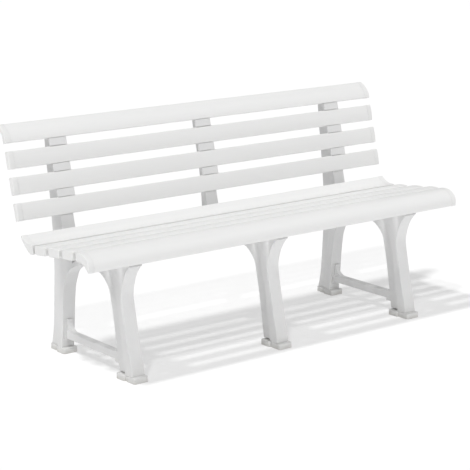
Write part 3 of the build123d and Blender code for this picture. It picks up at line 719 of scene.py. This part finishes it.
    def bake(self, run: ScrewRun, material: bpy.types.Material) -> bpy.types.Mesh:
        """Runs the tree over one run's seats.

        Args:
            run: The screws of one length.
            material: The screws' material.

        Returns:
            Their plain mesh.
        """
        points = bpy.data.meshes.new(f"{self.name}_points")
        points.from_pydata(run.seats, [], [])
        holder = bpy.data.objects.new(f"{self.name}_points", points)
        bpy.context.scene.collection.objects.link(holder)
        modifier = holder.modifiers.new("screws", "NODES")
        modifier.node_group = self.tree(run.length, material)
        values = self.sizes(run.length)
        for item in modifier.node_group.interface.items_tree:
            if item.in_out == "INPUT" and item.name in values:
                modifier[item.identifier] = values[item.name]
        found = holder.evaluated_get(bpy.context.evaluated_depsgraph_get())
        mesh = bpy.data.meshes.new_from_object(found)
        bpy.data.objects.remove(holder)
        return mesh

    def build(self, dresser: Dresser) -> bpy.types.Object:
        """Makes the screws as one piece that stands for their CAD node.

        Args:
            dresser: The maker of materials.

        Returns:
            The screws.
        """
        material = dresser.material(self.finish)
        joined = bmesh.new()
        for run in self.runs:
            joined.from_mesh(self.bake(run, material))
        mesh = bpy.data.meshes.new(self.name)
        joined.to_mesh(mesh)
        joined.free()
        mesh.materials.append(material)
        piece = bpy.data.objects.new(self.name, mesh)
        bpy.context.scene.collection.objects.link(piece)
        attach(piece, "root")
        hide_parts(self.stands_for)
        log.info("%s: %d screws", self.name, sum(len(run.seats) for run in self.runs))
        return piece


@dataclass(frozen=True)
class ScrewBed:
    """A sloping plane with rows of screw seats across it."""

    origin: tuple[float, float]
    slope: float
    depth: float
    rows: tuple[float, ...]
    shift: float = 0.0

    def travel(self) -> tuple[float, float, float]:
        """Gives the way the screws point."""
        return (0.0, -math.sin(self.slope), math.cos(self.slope))

    def seats(self) -> tuple[tuple[float, float, float], ...]:
        """Gives each screw's seat, row by row in every frame."""
        along_y, along_z = math.cos(self.slope), math.sin(self.slope)
        _, out_y, out_z = self.travel()
        return tuple(
            (hand.value + self.shift,
             self.origin[0] + row * along_y - self.depth * out_y,
             self.origin[1] + row * along_z - self.depth * out_z)
            for hand in Hand for row in self.rows)


SEAT_BED = ScrewBed((-0.138, 0.389), math.radians(-6.4), 0.008,
                    (-0.0545, 0.0, 0.0765, 0.153, 0.202), shift=0.0295)
BACK_BED = ScrewBed((0.1339, 0.4565), math.radians(90.0 - 14.4), 0.026,
                    (0.0275, 0.1075, 0.1875, 0.252))

SEAT_SLATS = SlatPanel(("front_seat_slat", "seat_slat_1", "seat_slat_2", "seat_slat_3",
                        "rear_seat_slat"))
BACK_SLATS = SlatPanel(("back_slat_1", "back_slat_2", "back_slat_3", "top_back_slat"))
FRAMES = (
    SideFrame(Hand.LEFT),
    SideFrame(Hand.CENTRE, mouldings=("front_leg", "seat_rail", "back_post"),
              pads=("front_foot_pad",)),
    SideFrame(Hand.RIGHT),
)


def joint_screws() -> ScrewSet:
    """Lays out the screws that pull the frames' tenons home.

    Returns:
        The screws, driven from the right side of each frame.
    """
    recess, stop, rise = 0.005, 0.0035, 0.008
    rib, band, socket = 0.017, 0.0235, 0.0155
    front, rear, post = (
        [(y, z + side * rise, half) for side in (-1, 1)]
        for y, z, half in ((-0.058, 0.342, rib), (0.106, 0.328, band), (0.129, 0.334, band)))
    bar = [(-0.135, 0.061, socket), (0.169, 0.061, band)]
    places = {Hand.LEFT: front + rear + bar, Hand.CENTRE: front + post,
              Hand.RIGHT: front + rear + bar}
    runs = []
    for half in (rib, band, socket):
        seats = tuple((hand.value + half - recess, y, z) for hand, spots in places.items()
                      for y, z, wall in spots if wall == half)
        runs.append(ScrewRun(2.0 * half - recess - stop, seats))
    return ScrewSet("joint_screws", "frame_screws", (-1.0, 0.0, 0.0), tuple(runs),
                    head_radius=0.0055, head_height=0.004, shank_radius=0.003, pitch=0.0024)


SCREWS = (
    ScrewSet("seat_screws", "seat_slat_screws", SEAT_BED.travel(),
             (ScrewRun(0.015, SEAT_BED.seats()),)),
    ScrewSet("back_screws", "back_slat_screws", BACK_BED.travel(),
             (ScrewRun(0.015, BACK_BED.seats()),)),
    joint_screws(),
)


# ---------------------------------------------------------------------- studio
class Reach(Enum):
    """What a studio light falls on."""

    BENCH = "bench_pieces"
    FLOOR = "floor_only"


@dataclass(frozen=True)
class Lamp:
    """One far studio light."""

    name: str
    travel: tuple[float, float, float]
    strength: float
    angle: float
    reach: Reach

    def hang(self, receivers: dict[Reach, bpy.types.Collection]) -> None:
        """Adds the light to the scene.

        Args:
            receivers: The collection for each reach.
        """
        lamp = bpy.data.lights.new(self.name, "SUN")
        lamp.energy = self.strength
        lamp.angle = math.radians(self.angle)
        holder = bpy.data.objects.new(self.name, lamp)
        holder.rotation_euler = Vector(self.travel).to_track_quat("-Z", "Y").to_euler()
        bpy.context.scene.collection.objects.link(holder)
        holder.light_linking.receiver_collection = receivers[self.reach]


FROM_FRONT_LEFT = (0.63, 0.476, -1.0)
FROM_LEFT = (0.47, -0.045, -1.0)
FROM_LOW_LEFT = (1.0, 0.1, -0.9)
FROM_FRONT = (0.1, 0.85, -0.5)
LAMPS = (
    Lamp("bench_key", FROM_LEFT, 1.25, 9.0, Reach.BENCH),
    Lamp("bench_side", FROM_LOW_LEFT, 0.65, 12.0, Reach.BENCH),
    Lamp("bench_fill", FROM_FRONT, 0.75, 25.0, Reach.BENCH),
    Lamp("floor_key", FROM_FRONT_LEFT, 0.72, 3.0, Reach.FLOOR),
    Lamp("floor_overhead", FROM_LEFT, 1.75, 5.0, Reach.FLOOR),
)


@dataclass
class Studio:
    """Plain floor, soft light and the camera."""

    camera_place: tuple[float, float, float] = (-3.3086, -4.1703, 1.5888)
    azimuth: float = 38.29
    tilt: float = -13.31
    lens: float = 128.2
    sensor: float = 36.0
    lamps: tuple[Lamp, ...] = LAMPS
    sky_strength: float = 0.46
    wall_strength: float = 0.08
    wall_edges: tuple[float, float] = (-0.9, 0.1)
    floor_shade: float = 0.6
    floor_glow: float = 0.395
    floor_half: float = 30.0

    def floor(self) -> bpy.types.Object:
        """Lays the pale floor.

        Returns:
            The floor.
        """
        mesh = bpy.data.meshes.new("studio_floor")
        h = self.floor_half
        mesh.from_pydata([(-h, -h, 0), (h, -h, 0), (h, h, 0), (-h, h, 0)], [], [(0, 1, 2, 3)])
        floor = bpy.data.objects.new("studio_floor", mesh)
        bpy.context.scene.collection.objects.link(floor)
        material = bpy.data.materials.new("studio_floor_white")
        material.use_nodes = True
        surface = material.node_tree.nodes["Principled BSDF"]
        surface.inputs["Base Color"].default_value = (*[self.floor_shade] * 3, 1.0)
        surface.inputs["Roughness"].default_value = 0.9
        surface.inputs["Specular IOR Level"].default_value = 0.1
        surface.inputs["Emission Color"].default_value = (1.0, 1.0, 1.0, 1.0)
        surface.inputs["Emission Strength"].default_value = self.floor_glow
        mesh.materials.append(material)
        log.info("studio: floor laid")
        return floor

    def light(self, floor: bpy.types.Object, bench: list[bpy.types.Object]) -> None:
        """Hangs the lights and sets the sky.

        Args:
            floor: The floor.
            bench: The bench's visible pieces.
        """
        receivers = {reach: bpy.data.collections.new(reach.value) for reach in Reach}
        receivers[Reach.FLOOR].objects.link(floor)
        for piece in bench:
            receivers[Reach.BENCH].objects.link(piece)
        for lamp in self.lamps:
            lamp.hang(receivers)
        self.sky()
        log.info("studio: lights hung")

    def sky(self) -> None:
        """Sets the light of the room, dimmer by the wall on the left."""
        world = bpy.data.worlds.new("studio_sky")
        bpy.context.scene.world = world
        world.use_nodes = True
        tree = world.node_tree
        room = tree.nodes["Background"]
        room.inputs["Color"].default_value = (1.0, 1.0, 1.0, 1.0)
        coords = new_node(tree, "ShaderNodeTexCoord", (-900, 0))
        parts = new_node(tree, "ShaderNodeSeparateXYZ", (-700, 0))
        wall = new_node(tree, "ShaderNodeMapRange", (-450, 0), interpolation_type="SMOOTHSTEP")
        wall.inputs["From Min"].default_value = self.wall_edges[0]
        wall.inputs["From Max"].default_value = self.wall_edges[1]
        wall.inputs["To Min"].default_value = self.wall_strength
        wall.inputs["To Max"].default_value = self.sky_strength
        link(tree, coords.outputs["Generated"], parts.inputs[0])
        link(tree, parts.outputs["X"], wall.inputs["Value"])
        link(tree, wall.outputs[0], room.inputs["Strength"])

    def camera(self) -> None:
        """Sets the camera."""
        lens = bpy.data.cameras.new("camera")
        lens.lens = self.lens
        lens.sensor_width = self.sensor
        lens.clip_end = 200.0
        holder = bpy.data.objects.new("camera", lens)
        holder.location = self.camera_place
        holder.rotation_euler = (math.radians(90.0 + self.tilt), 0.0,
                                 -math.radians(self.azimuth))
        bpy.context.scene.collection.objects.link(holder)
        bpy.context.scene.camera = holder
        log.info("studio: camera set")

    def build(self, bench: list[bpy.types.Object]) -> None:
        """Builds the whole studio.

        Args:
            bench: The bench's visible pieces.
        """
        floor = self.floor()
        self.light(floor, bench)
        self.camera()
        view = bpy.context.scene.view_settings
        view.view_transform = "Standard"
        view.look = "None"


def clear_start() -> None:
    """Removes what a new file holds."""
    for item in list(bpy.data.objects):
        bpy.data.objects.remove(item)


def main() -> None:
    """Builds the bench's looks in order."""
    logging.basicConfig(level=logging.INFO, format="%(name)s: %(message)s")
    clear_start()
    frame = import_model()
    dresser = Dresser(Effects())
    cad = frame["nodes"]
    bench = SEAT_SLATS.build(cad, dresser) + BACK_SLATS.build(cad, dresser)
    for side in FRAMES:
        bench += side.build(cad, dresser)
    for screws in SCREWS:
        bench.append(screws.build(dresser))
    Studio().build(bench)


if __name__ == "__main__":
    main()
